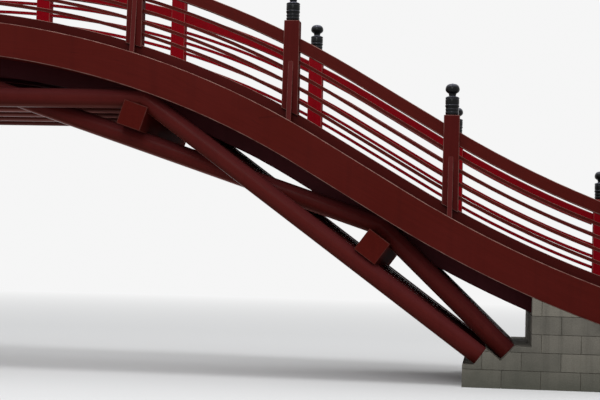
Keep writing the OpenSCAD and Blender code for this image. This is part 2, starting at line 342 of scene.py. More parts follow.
class Coating(Shading):
    """A new material with its Principled shader."""

    def __init__(self, name: str) -> None:
        """Makes the material.

        Args:
            name: its name.
        """
        self.material = bpy.data.materials.new(name)
        self.material.use_nodes = True
        super().__init__(self.material.node_tree)
        self.shader = self.data.nodes["Principled BSDF"]

    def apply(self, **values: object) -> None:
        """Links or sets inputs of the shader, named with an underscore for each space."""
        self.feed_all(self.shader.inputs, values)

    def emboss(self, height: Socket, depth: float, strength: float) -> Material:
        """Ends the material with the relief of its surface.

        Args:
            height: the pattern that is raised.
            depth: how high it rises.
            strength: how much of that shows.

        Returns:
            The finished material.
        """
        inputs = {"Strength": strength, "Distance": depth, "Height": height}
        self.apply(Normal=self.first("ShaderNodeBump", inputs))
        return self.material

    def varnish(self, start: float, end: float, flat: float, rim: float, roughness: float) -> None:
        """Adds a clear coat that grows towards the rim of what is seen.

        Args:
            start: where it starts to grow, from 0 face on to 1 edge on.
            end: where it stops.
            flat: its weight before that.
            rim: its weight after it.
            roughness: its roughness.
        """
        edge_on = self.node("ShaderNodeLayerWeight").outputs["Facing"]
        weight = self.remap(edge_on, start, end, flat, rim)
        self.apply(Coat_Roughness=roughness, Coat_Weight=weight)


@dataclass(frozen=True)
class TimberPaint:
    """Weathered oil paint on timber, pale along the arrises: rubbed paint and a painted highlight of the sky
    glinting on them.
    """

    name: str
    colour: Colour = (80, 22, 17)
    faded: Colour = (86, 26, 22)
    # Pale arris colour: rubbed paint, and a painted highlight where the sky glints on the rounded arris.
    worn_and_highlit: Colour = (178, 142, 132)
    dust_and_sheen: Colour = (112, 82, 74)
    streaked: Colour = (48, 15, 14)
    cracked: Colour = (22, 9, 8)
    roughness: float = 0.42
    specular: float = 0.0
    coat: float = 0.06
    rim: float = 0.07
    wear_and_highlight: float = 0.55
    dust_amount: float = 0.22
    run_amount: float = 0.18
    checks: float = 0.2
    relief: float = 0.0012
    # Pink on faces that look up: a painted highlight of the sky.
    sky_highlight: Colour = (100, 46, 52)
    sky_highlight_amount: float = 0.0
    # Browner, darker red on faces that look down: painted shade.
    underside_shade: Colour = (64, 30, 18)
    underside_shade_amount: float = 0.0
    # Pale pink on undersides, most so inboard: a painted reflection of light from below.
    underside_reflection: Colour = (165, 104, 98)
    damp_and_reflection: float = 0.0
    # Brighter crimson for faces turned to the walkway: a painted sunlit copy of the paint, beside the darker
    # shaded red of the outer faces.
    walkway: Colour | None = None

    @staticmethod
    def inward(tree: Shading) -> Socket:
        """Marks what is turned to the walkway.

        Args:
            tree: the material's tree.

        Returns:
            1 on the faces of either parapet turned to the walkway, and on the back posts' sides, where the
            painted sunlight is laid.
        """
        across = tree.axis(tree.place(), 1)
        past_outer = tree.multiply(tree.math("SIGN", across), tree.math("SUBTRACT", tree.facing(1), 0.5))
        return tree.remap(past_outer, -0.15, 0.1, 1.0, 0.0)

    def sided(self, tree: Shading, body: Socket) -> Socket:
        """Changes the paint with the way that its surface faces.

        Args:
            tree: the material's tree.
            body: the paint's colour.

        Returns:
            The colour, with a painted highlight on top, painted shade low down, and a painted reflection of
            light from below on the undersides, most so inboard.
        """
        upward = tree.facing(2)
        # Painted highlight where the surface faces up, and painted shade where it faces down.
        body = tree.layered(body, (tree.remap(upward, 0.15, 0.6, 0.0, self.sky_highlight_amount), self.sky_highlight),
                            (tree.remap(upward, -0.9, -0.3, self.underside_shade_amount, 0.0), self.underside_shade))
        # Painted reflection on the undersides, strongest inboard.
        across = tree.math("ABSOLUTE", tree.axis(tree.place(), 1))
        inboard = tree.remap(across, 1.0, 1.25, self.damp_and_reflection, self.damp_and_reflection * 0.45)
        under = tree.multiply(inboard, tree.remap(upward, -0.98, -0.72, 1.0, 0.0))
        return tree.layered(body, (under, self.underside_reflection))

    def build(self) -> Material:
        """Builds the material.

        Returns:
            The finished material.
        """
        tree = Coating(self.name)
        grain = grain_effect().use(tree, Fineness=1.0, Check_Amount=self.checks)
        arris = arris_effect().use(tree, Amount=self.wear_and_highlight, Breakup=7.0)["Mask"]
        weather = weather_effect().use(
            tree, Dust_Amount=self.dust_amount, Run_Amount=self.run_amount, Mottle_Scale=0.8)
        body = tree.mix(weather["Mottle"], paint(self.colour), paint(self.faded))
        if self.sky_highlight_amount or self.underside_shade_amount:
            body = self.sided(tree, body)
        # Painted sunlight: faces turned to the walkway take the brighter crimson copy of the paint.
        if self.walkway:
            sunlit = tree.mix(weather["Mottle"], paint(self.walkway), paint(self.walkway, 1.08))
            body = tree.mix(self.inward(tree), body, sunlit)
        piece = tree.remap(tree.attribute("piece"), 0.0, 1.0, 0.90, 1.08)
        shade = tree.multiply(piece, tree.remap(grain["Streak"], 0.25, 0.75, 0.90, 1.09))
        body = tree.mix(1.0, body, shade, "MULTIPLY")
        # Stains, cracks and dust, and pale arrises that are rubbed paint and a painted highlight.
        body = tree.layered(body, (weather["Runs"], self.streaked), (grain["Checks"], self.cracked),
                            (arris, self.worn_and_highlit), (weather["Dust"], self.dust_and_sheen))
        rough = tree.add(tree.multiply(grain["Streak"], 0.16), self.roughness - 0.08)
        rough = tree.add(rough, tree.multiply(weather["Dust"], 0.5))
        tree.apply(Base_Color=body, Roughness=rough, Specular_IOR_Level=self.specular)
        tree.varnish(0.62, 0.93, self.coat, self.rim, roughness=0.3)
        return tree.emboss(grain["Height"], depth=self.relief, strength=0.6)


@dataclass(frozen=True)
class BoardPaint:
    """Red paint on the walking boards, trodden through to grey wood along the middle."""

    name: str = "trodden_boards"
    colour: Colour = (92, 30, 24)
    wood: Colour = (126, 104, 82)
    cracked: Colour = (26, 17, 13)
    dust_and_sheen: Colour = (128, 116, 102)
    tread_half: float = 0.75

    def build(self) -> Material:
        """Builds the material.

        Returns:
            The finished material.
        """
        tree = Coating(self.name)
        grain = grain_effect().use(tree, Fineness=1.6, Check_Amount=0.9)
        arris = arris_effect().use(tree, Amount=0.9, Breakup=14.0)["Mask"]
        weather = weather_effect().use(tree, Dust_Amount=0.35, Run_Amount=0.2, Mottle_Scale=1.5)
        across = tree.math("ABSOLUTE", tree.axis(tree.place(), 1))
        lane = tree.remap(across, self.tread_half * 0.3, self.tread_half, 1.0, 0.0)
        lane = tree.multiply(lane, tree.remap(tree.facing(2), 0.5, 0.9))
        patches = tree.noise(tree.attribute("grain", "Vector"), (1.2, 9.0, 9.0), 5.0, 0.65)
        trodden = tree.remap(tree.add(patches, tree.multiply(lane, 0.3)), 0.62, 0.72)
        bare = tree.math("MAXIMUM", trodden, arris)
        body = tree.mix(weather["Mottle"], paint(self.colour), paint(self.colour, 1.15))
        body = tree.mix(bare, body, tree.mix(grain["Streak"], paint(self.wood, 0.72), paint(self.wood)))
        body = tree.layered(body, (grain["Checks"], self.cracked), (weather["Dust"], self.dust_and_sheen))
        rough = tree.remap(bare, 0.0, 1.0, 0.5, 0.82)
        tree.apply(Base_Color=body, Roughness=rough, Specular_IOR_Level=0.25)
        return tree.emboss(grain["Height"], depth=0.002, strength=0.8)


@dataclass(frozen=True)
class FinialGloss:
    """Black gloss paint on turned wood, with dust in its hollows and on its shoulders, which on top is also a
    painted highlight of the sky.
    """

    name: str = "black_gloss"
    colour: Colour = (12, 13, 14)
    streaked: Colour = (46, 44, 44)
    # Lavender-grey on upward faces: dust, and a painted highlight of the sky.
    dust_and_sheen: Colour = (140, 141, 158)

    def build(self) -> Material:
        """Builds the material.

        Returns:
            The finished material.
        """
        tree = Coating(self.name)
        # The dust amount here also sets how much painted highlight lies on top.
        weather = weather_effect().use(tree, Dust_Amount=0.7, Run_Amount=0.25, Mottle_Scale=7.0)
        body = tree.mix(weather["Mottle"], paint(self.colour), paint(self.colour, 1.5))
        body = tree.layered(body, (weather["Runs"], self.streaked), (weather["Dust"], self.dust_and_sheen))
        rough = tree.remap(weather["Dust"], 0.0, 0.5, 0.22, 0.6)
        tree.apply(Base_Color=body, Roughness=rough, Specular_IOR_Level=0.10)
        tree.varnish(0.6, 0.95, 0.08, 0.35, roughness=0.2)
        rings = tree.noise(tree.attribute("grain", "Vector"), (210.0, 2.0, 2.0), 2.0, 0.5)
        return tree.emboss(rings, depth=0.0006, strength=0.35)


@dataclass(frozen=True)
class DressedStone:
    """Grey stone blocks with a worked face, damp near the ground."""

    name: str = "dressed_stone"
    colour: Colour = (142, 137, 126)
    dark: Colour = (98, 95, 88)
    speckled: Colour = (84, 82, 77)
    damp_and_reflection: Colour = (66, 68, 58)
    streaked: Colour = (74, 72, 66)
    worn_and_highlit: Colour = (164, 160, 150)

    def build(self) -> Material:
        """Builds the material.

        Returns:
            The finished material.
        """
        tree = Coating(self.name)
        arris = arris_effect().use(tree, Amount=0.5, Breakup=11.0)["Mask"]
        weather = weather_effect().use(tree, Dust_Amount=0.25, Run_Amount=0.5, Mottle_Scale=2.2)
        place = tree.place()
        speck = tree.noise(place, 85.0, 3.0, 0.7)
        ragged = tree.multiply(tree.noise(place, 3.0, 5.0, 0.65), -0.5)
        height = tree.add(tree.axis(place, 2), ragged)
        body = tree.mix(tree.attribute("piece"), paint(self.dark), paint(self.colour))
        body = tree.layered(
            body, (tree.multiply(weather["Mottle"], 0.5), self.colour),
            (tree.remap(speck, 0.35, 0.7, 0.0, 0.45), self.speckled),
            (tree.remap(height, -0.2, 0.35, 0.75, 0.0), self.damp_and_reflection),
            (weather["Runs"], self.streaked), (arris, self.worn_and_highlit))
        rough = tree.remap(height, -0.2, 0.4, 0.55, 0.9)
        tree.apply(Base_Color=body, Roughness=rough, Specular_IOR_Level=0.3)
        chisel = tree.noise(place, (30.0, 30.0, 90.0), 3.0, 0.6)
        return tree.emboss(tree.add(tree.multiply(speck, 0.3), chisel), depth=0.006, strength=0.7)


@dataclass(frozen=True)
class LimeMortar:
    """Sandy mortar in the joints."""

    name: str = "lime_mortar"
    colour: Colour = (120, 114, 102)
    streaked: Colour = (62, 60, 54)

    def build(self) -> Material:
        """Builds the material.

        Returns:
            The finished material.
        """
        tree = Coating(self.name)
        weather = weather_effect().use(tree, Dust_Amount=0.1, Run_Amount=0.5, Mottle_Scale=4.0)
        sand = tree.noise(tree.place(), 240.0, 3.0, 0.7)
        body = tree.mix(weather["Mottle"], paint(self.colour), paint(self.colour, 0.7))
        body = tree.layered(body, (weather["Runs"], self.streaked))
        tree.apply(Base_Color=body, Roughness=tree.remap(sand, 0.3, 0.7, 0.85, 0.98))
        return tree.emboss(sand, depth=0.003, strength=0.6)


@dataclass(frozen=True)
class ForgedIron:
    """Blackened iron with rust."""

    name: str = "forged_iron"
    colour: Colour = (38, 36, 36)
    rust: Colour = (92, 52, 34)

    def build(self) -> Material:
        """Builds the material.

        Returns:
            The finished material.
        """
        tree = Coating(self.name)
        weather = weather_effect().use(tree, Dust_Amount=0.3, Run_Amount=0.0, Mottle_Scale=30.0)
        spots = tree.remap(tree.noise(tree.place(), 160.0, 3.0, 0.6), 0.45, 0.6)
        rusty = tree.multiply(spots, weather["Mottle"])
        body = tree.mix(rusty, paint(self.colour), paint(self.rust))
        rough = tree.remap(rusty, 0.0, 1.0, 0.5, 0.9)
        tree.apply(Base_Color=body, Roughness=rough, Metallic=tree.remap(rusty, 0.0, 1.0, 0.8, 0.0))
        return tree.emboss(spots, depth=0.0008, strength=0.5)


# Mesh work


class DeckCurve:
    """The curve of the edge girder's top, read from the girder's own mesh."""

    def __init__(self) -> None:
        """Takes the highest point of the outer face at each station."""
        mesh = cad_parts["edge_girder_front"].data
        outer_face = min(v.co.y for v in mesh.vertices)
        tops: dict[float, float] = {}
        for vertex in mesh.vertices:
            if vertex.co.y < outer_face + TOUCH:
                x = round(vertex.co.x, 4)
                tops[x] = max(tops.get(x, 0.0), vertex.co.z)
        self.x = np.array(sorted(tops))
        self.z = np.array([tops[x] for x in self.x.tolist()])
        steps = np.hypot(np.diff(self.x), np.diff(self.z))
        self.run = np.concatenate([[0.0], np.cumsum(steps)])

    def locate(self, points: np.ndarray) -> np.ndarray:
        """Places points by the curve.

        Args:
            points: rows of x, y, z.

        Returns:
            Rows of distance along the curve, height square to it, and y.
        """
        i = np.clip(np.searchsorted(self.x, points[:, 0]) - 1, 0, len(self.x) - 2)
        dx, dz = self.x[i + 1] - self.x[i], self.z[i + 1] - self.z[i]
        length = np.hypot(dx, dz)
        px, pz = points[:, 0] - self.x[i], points[:, 2] - self.z[i]
        along = (px * dx + pz * dz) / length
        up = (pz * dx - px * dz) / length
        return np.stack([self.run[i] + along, up, points[:, 1]], axis=1)


def flatten(solid: Solid) -> None:
    """Makes each flat face of a mesh whole."""
    bmesh.ops.dissolve_limit(solid, angle_limit=FLAT_TURN, verts=solid.verts, edges=solid.edges)


def merged(node: str) -> Solid:
    """Copies the solids of a CAD node.

    Args:
        node: the node's name.

    Returns:
        A closed mesh, which the caller frees.
    """
    solid = bmesh.new()
    solid.from_mesh(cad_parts[node].data)
    bmesh.ops.remove_doubles(solid, verts=solid.verts, dist=WELD)
    flatten(solid)
    return solid


def islands(solid: Solid) -> list[list[Corner]]:
    """Finds the separate bodies of a mesh.

    Args:
        solid: the mesh.

    Returns:
        The corners of each body.
    """
    seen: set[Corner] = set()
    found = []
    for first in solid.verts:
        if first in seen:
            continue
        seen.add(first)
        group, waiting = [], [first]
        while waiting:
            corner = waiting.pop()
            group.append(corner)
            for edge in corner.link_edges:
                other = edge.other_vert(corner)
                if other not in seen:
                    seen.add(other)
                    waiting.append(other)
        found.append(group)
    return found


def extent(corners: Iterable[Corner], axis: int) -> tuple[float, float]:
    """The lowest and highest place of some corners on one axis, counted from 0."""
    places = [corner.co[axis] for corner in corners]
    return min(places), max(places)


def fill_joints(solid: Solid, reach: float = 0.006, weld: float = 2.5e-3) -> None:
    """Draws the butt joints of a girder together, as where they are filled and painted over.

    Args:
        solid: the girder's lengths.
        reach: how far from a joint's middle its corners are drawn in.
        weld: how near to each other they are made one.
    """
    spans = sorted(((*extent(group, 0), group) for group in islands(solid)), key=lambda span: span[0])
    joints = []
    for (_, end, left), (start, _, right) in zip(spans, spans[1:]):
        middle = (start + end) / 2
        joints.append(middle)
        for corner in left + right:
            if abs(corner.co.x - middle) < reach:
                corner.co.x = middle
    bmesh.ops.remove_doubles(solid, verts=solid.verts, dist=weld)
    inner = [f for f in solid.faces if any(all(abs(v.co.x - x) < WELD for v in f.verts) for x in joints)]
    bmesh.ops.delete(solid, geom=inner, context="FACES_ONLY")
    flatten(solid)


def any_edge(edge: Edge) -> bool:
    """Every outward arris."""
    return True


def lengthwise(edge: Edge, least: float = 0.5) -> bool:
    """Arrises with more than this share of their length along the bridge, so that butt joints stay tight."""
    run = edge.verts[1].co - edge.verts[0].co
    return abs(run.x) > least * run.length


def round_arrises(solid: Solid, width: float, wanted: Callable[[Edge], bool] = any_edge,
                  segments: int = 2, sharp: float = 30.0) -> None:
    """Rounds the outward arrises of a mesh and marks the new faces.

    Args:
        solid: the mesh.
        width: how far the rounding reaches into each face.
        wanted: says which edges are rounded.
        segments: number of faces across an arris.
        sharp: smallest angle of an arris between its faces' normals, in degrees.
    """
    mark = solid.faces.layers.float.get("arris") or solid.faces.layers.float.new("arris")
    limit = math.radians(sharp)
    edges = [e for e in solid.edges
             if e.is_manifold and e.is_convex and e.calc_face_angle() > limit and wanted(e)]
    made = bmesh.ops.bevel(solid, geom=edges, offset=width, offset_type="OFFSET", segments=segments,
                           profile=0.5, affect="EDGES", clamp_overlap=True)
    for face in made["faces"]:
        face[mark] = 1.0


def mark_grain(solid: Solid, seed: int, curve: DeckCurve | None = None) -> None:
    """Stores each timber's own grain coordinates and a number that sets it apart from the others.

    Args:
        solid: the mesh.
        seed: fixed seed of the random offsets.
        curve: the deck's curve, where the grain follows it.
    """
    grain = solid.verts.layers.float_vector.new("grain")
    piece = solid.verts.layers.float.new("piece")
    draws = random.Random(seed)
    farthest_offset = 40
    for group in islands(solid):
        points = np.array([v.co for v in group])
        if curve:
            local = curve.locate(points)
        else:
            centred = points - points.mean(axis=0)
            local = centred @ np.linalg.svd(centred, full_matrices=False)[2].T
        offset = np.array([draws.uniform(0, farthest_offset) for _ in range(3)])
        share = draws.random()
        for corner, place in zip(group, (local + offset).tolist()):
            corner[grain] = place
            corner[piece] = share


def to_object(solid: Solid, name: str, material: Material, smooth_below: float = 15.0) -> Object:
    """Turns a mesh into an object in the scene, smooth where it is gently curved.

    Args:
        solid: the mesh, which is freed.
        name: name of the object.
        material: its material.
        smooth_below: largest angle between faces, in degrees, that is shaded smooth.

    Returns:
        The object, at the origin.
    """
    limit = math.radians(smooth_below)
    for face in solid.faces:
        face.smooth = True
    for edge in solid.edges:
        edge.smooth = edge.calc_face_angle(math.pi) < limit
    mesh = bpy.data.meshes.new(name)
    solid.to_mesh(mesh)
    solid.free()
    mesh.materials.append(material)
    made = bpy.data.objects.new(name, mesh)
    bpy.context.scene.collection.objects.link(made)
    return made


def settle(piece: Object, slot: Slot, *nodes: str) -> None:
    """Hands a finished piece to the frame.

    Args:
        piece: the finished object.
        slot: not used.
        nodes: the CAD nodes that it stands for.
    """
    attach(piece, "root")
    if nodes:
        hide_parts(*nodes)
    LOG.info("%s: %d faces, for %s", piece.name, len(piece.data.polygons), ", ".join(nodes) or "no node")


def cut(solid: Solid, point: Sequence[float], normal: Sequence[float]) -> None:
    """Cuts away the part of a closed mesh on the side that a normal points to, and closes it.

    Args:
        solid: the mesh.
        point: a point of the cutting plane.
        normal: the plane's normal.
    """
    whole = solid.verts[:] + solid.edges[:] + solid.faces[:]
    bmesh.ops.bisect_plane(solid, geom=whole, dist=1e-6, plane_co=point, plane_no=normal, clear_outer=True)
    rim = [e for e in solid.edges if e.is_boundary]
    if rim:
        bmesh.ops.holes_fill(solid, edges=rim, sides=0)


def slab(solid: Solid, axis: int, low: float, high: float) -> Solid:
    """A copy of the part of a closed mesh between two planes.

    Args:
        solid: the mesh.
        axis: the axis that the planes are square to, counted from 0.
        low: where the lower plane lies on it.
        high: where the higher plane lies on it.

    Returns:
        The closed part, which the caller frees.
    """
    part = solid.copy()
    for value, sign in ((high, 1.0), (low, -1.0)):
        point, normal = [0.0] * 3, [0.0] * 3
        point[axis], normal[axis] = value, sign
        cut(part, point, normal)
    return part


def absorb(solid: Solid, part: Solid) -> None:
    """Adds one mesh to another.

    Args:
        solid: the mesh that grows.
        part: the mesh that is added to it, and freed.
    """
    carrier = bpy.data.meshes.new("carrier")
    part.to_mesh(carrier)
    part.free()
    solid.from_mesh(carrier)
    bpy.data.meshes.remove(carrier)


# Geometry Nodes


class Former(Tree):
    """A Geometry Nodes tree with named inputs, made into a plain mesh."""

    KINDS = {float: "NodeSocketFloat", int: "NodeSocketInt",
             Material: "NodeSocketMaterial", Object: "NodeSocketObject"}

    def __init__(self, name: str, inputs: dict[str, type]) -> None:
        """Makes the empty tree.

        Args:
            name: the tree's name.
            inputs: the kind of each named input, beside its material.
        """
        super().__init__(bpy.data.node_groups.new(name, "GeometryNodeTree"))
        face, shape = self.data.interface, "NodeSocketGeometry"
        face.new_socket("Geometry", in_out="INPUT", socket_type=shape)
        self.identifiers = {
            label: face.new_socket(label, in_out="INPUT", socket_type=self.KINDS[kind]).identifier
            for label, kind in (inputs | {"Material": Material}).items()
        }
        face.new_socket("Geometry", in_out="OUTPUT", socket_type=shape)
        self.source = self.node("NodeGroupInput").outputs

    def store(self, geometry: Socket, name: str, value: Socket,
              kind: str = "FLOAT", domain: str = "POINT") -> Socket:
        """Stores a named attribute on a geometry."""
        inputs = {"Geometry": geometry, "Name": name, "Value": value}
        return self.first("GeometryNodeStoreNamedAttribute", inputs, data_type=kind, domain=domain)

    def named(self, name: str, kind: str = "FLOAT") -> Socket:
        """Reads a named attribute."""
        return self.first("GeometryNodeInputNamedAttribute", {"Name": name}, data_type=kind)

    def part_smooth(self, geometry: Socket, limit: float) -> Socket:
        """Shades a mesh smooth where it is gently curved.

        Args:
            geometry: the mesh.
            limit: largest angle between faces, in degrees, that is shaded smooth.

        Returns:
            The shaded mesh.
        """
        smooth = self.first("GeometryNodeSetShadeSmooth", {0: geometry}, domain="FACE")
        angle = self.first("GeometryNodeInputMeshEdgeAngle")
        sharp = self.math("GREATER_THAN", angle, math.radians(limit))
        inputs = {0: smooth, "Selection": sharp, "Shade Smooth": False}
        return self.first("GeometryNodeSetShadeSmooth", inputs, domain="EDGE")

    def on_points(self, piece: Socket, turn: Socket) -> Socket:
        """Sets a piece, turned, on each point of the source."""
        inputs = {"Points": self.source["Geometry"], "Instance": piece, "Rotation": turn}
        return self.first("GeometryNodeInstanceOnPoints", inputs)

    def finish(self, geometry: Socket) -> Former:
        """Ends the tree with real geometry and its material.

        Args:
            geometry: what the tree has made.

        Returns:
            The finished tree.
        """
        real = self.first("GeometryNodeRealizeInstances", {0: geometry})
        inputs = {"Geometry": real, "Material": self.source["Material"]}
        self.node("NodeGroupOutput", {0: self.first("GeometryNodeSetMaterial", inputs)})
        return self

    def form(self, name: str, source: bpy.types.Mesh, **values: object) -> Object:
        """Runs the tree on a mesh.

        Args:
            name: name of the new object.
            source: mesh that the tree starts from.
            values: a value for each named input.

        Returns:
            A plain mesh object at the origin.
        """
        carrier = bpy.data.objects.new(name + "_source", source)
        bpy.context.scene.collection.objects.link(carrier)
        modifier = carrier.modifiers.new("form", "NODES")
        modifier.node_group = self.data
        for label, value in values.items():
            modifier[self.identifiers[label]] = value
        graph = bpy.context.evaluated_depsgraph_get()
        formed = carrier.evaluated_get(graph)
        mesh = bpy.data.meshes.new_from_object(formed, preserve_all_data_layers=True, depsgraph=graph)
        carrier.modifiers.remove(modifier)
        bpy.data.objects.remove(carrier)
        mesh.name = name
        made = bpy.data.objects.new(name, mesh)
        bpy.context.scene.collection.objects.link(made)
        return made


def rail_former() -> Former:
    """Sweeps a square section with rounded arrises along lines that lie in upright planes.

    Returns:
        The tree. It gives each row of rails its own stretch of grain and its own shade.
    """
    grain_shift, shade_start, shade_step = 7.3, 0.37, 0.618
    least_tilt, most_tilt = 0.2, 0.97
    tree = Former("swept_rail", {"Width": float, "Height": float, "Arris": float})
    source, vector = tree.source, "FLOAT_VECTOR"
    line = tree.first("GeometryNodeMeshToCurve", {0: source["Geometry"]})
    line = tree.first("GeometryNodeSetCurveNormal", {"Curve": line}, mode="Z_UP")
    line = tree.store(line, "along", tree.node("GeometryNodeSplineParameter").outputs["Length"])
    inputs = {"Width": source["Width"], "Height": source["Height"]}
    section = tree.first("GeometryNodeCurvePrimitiveQuadrilateral", inputs)
    inputs = {"Curve": section, "Count": 2, "Radius": source["Arris"]}
    section = tree.first("GeometryNodeFilletCurve", inputs, mode="POLY")
    section = tree.store(section, "section", tree.first("GeometryNodeInputPosition"), vector)
    inputs = {"Curve": line, "Profile Curve": section, "Fill Caps": True}
    swept = tree.first("GeometryNodeCurveToMesh", inputs)
    row, across = tree.named("row"), tree.named("section", vector)
    along = tree.add(tree.named("along"), tree.multiply(row, grain_shift))
    inputs = {0: along, 1: tree.axis(across, 0), 2: tree.axis(across, 1)}
    swept = tree.store(swept, "grain", tree.first("ShaderNodeCombineXYZ", inputs), vector)
    piece = tree.math("FRACT", tree.multiply(tree.add(row, shade_start), shade_step))
    swept = tree.store(swept, "piece", piece)
    facing = tree.math("ABSOLUTE", tree.axis(tree.first("GeometryNodeInputNormal"), 1))
    tilted = tree.multiply(tree.math("GREATER_THAN", facing, least_tilt),
                           tree.math("LESS_THAN", facing, most_tilt))
    swept = tree.store(swept, "arris", tilted, domain="FACE")
    return tree.finish(tree.part_smooth(swept, limit=12.0))


def nail_former() -> Former:
    """Sets a low domed head on each point, square to the board under it.

    Returns:
        The tree.
    """
    # The radii are shares of the head's width.
    sides, top_radius, foot_radius = 9, 0.28, 0.5
    tree = Former("nail_heads", {"Head": float, "Height": float})
    head = tree.source["Head"]
    inputs = {"Vertices": sides, "Radius Top": tree.multiply(head, top_radius),
              "Radius Bottom": tree.multiply(head, foot_radius), "Depth": tree.source["Height"]}
    dome = tree.first("GeometryNodeMeshCone", inputs, fill_type="NGON")
    inputs = {"Vector": tree.named("facing", "FLOAT_VECTOR")}
    turn = tree.first("FunctionNodeAlignRotationToVector", inputs, axis="Z")
    return tree.finish(tree.on_points(dome, turn))


def finial_former() -> Former:
    """Sets one turned finial on each post's top, each turned a little differently.

    Returns:
        The tree.
    """
    largest_turn = 6.283
    tree = Former("set_finials", {"Turning": Object, "Seed": int})
    inputs = {"Object": tree.source["Turning"]}
    turning = tree.node("GeometryNodeObjectInfo", inputs).outputs["Geometry"]
    inputs = {"Min": (0.0, 0.0, 0.0), "Max": (0.0, 0.0, largest_turn), "Seed": tree.source["Seed"]}
    turn = tree.first("FunctionNodeRandomValue", inputs, data_type="FLOAT_VECTOR")
    return tree.finish(tree.on_points(turning, turn))


# Sub-assemblies


@dataclass
class Timbers:
    """Logs, beams, girders, posts and struts: each CAD node dressed as painted timber."""

    curve: DeckCurve
    materials: dict[str, Material]
    girder_arris: float = 0.009
    curb_arris: float = 0.006
    beam_arris: float = 0.009
    post_arris: float = 0.008
    strut_arris: float = 0.005
    post_foot: float = 1.10
    post_head: float = 1.04

    def dress(self, node: str, material: str, lay: Lay, seed: int, arris: float = 0.0,
              wanted: Callable[[Edge], bool] = any_edge) -> None:
        """Dresses one CAD node.

        Args:
            node: its name.
            material: key of its paint.
            lay: how its grain lies.
            seed: seed of the grain's offsets.
            arris: width of its rounded arrises, 0 for none.
            wanted: says which edges are rounded.
        """
        solid = merged(node)
        if node.startswith("edge_girder"):
            fill_joints(solid)
        if node.startswith("posts"):
            self.spread_feet(solid)
        if arris:
            round_arrises(solid, arris, wanted)
        mark_grain(solid, seed, self.curve if lay is Lay.CURVED else None)
        settle(to_object(solid, "timber_" + node, self.materials[material]), Slot.RED, node)

    def spread_feet(self, solid: Solid) -> None:
        """Widens each post along the bridge, a little at its head and more at its foot.

        Args:
            solid: the posts.
        """
        for post in islands(solid):
            low, high = extent(post, 2)
            middle = sum(extent(post, 0)) / 2
            for corner in post:
                up = (corner.co.z - low) / (high - low)
                share = self.post_foot + (self.post_head - self.post_foot) * up
                corner.co.x = middle + (corner.co.x - middle) * share

    def build(self) -> None:
        """Dresses all the painted timbers."""
        for side in SIDES:
            self.dress(f"edge_girder_{side}", "girder", Lay.CURVED, 11, self.girder_arris, lengthwise)
            self.dress(f"curb_{side}", "curb", Lay.CURVED, 13, self.curb_arris, lengthwise)
            self.dress(f"posts_{side}", "post", Lay.STRAIGHT, 17, self.post_arris)
            self.dress(f"post_struts_{side}", "strut", Lay.STRAIGHT, 19, self.strut_arris)
        self.dress("crown_beam", "beam", Lay.STRAIGHT, 23, self.beam_arris)
        self.dress("level_logs", "log", Lay.STRAIGHT, 29)
        for end in ENDS:
            for place in ("upper", "lower"):
                self.dress(f"{place}_beam_{end}", "beam", Lay.STRAIGHT, 31, self.beam_arris)
                self.dress(f"{place}_logs_{end}", "log", Lay.STRAIGHT, 37)
            self.dress(f"raking_logs_{end}", "log", Lay.STRAIGHT, 41)
        self.dress("inner_girders", "inner", Lay.CURVED, 43)
        self.dress("deck_carriages", "inner", Lay.CURVED, 47)


@dataclass
class Rail:
    """A rail's mid-line, its width across the bridge and its depth square to its run."""

    line: list[Vector]
    width: float
    depth: float


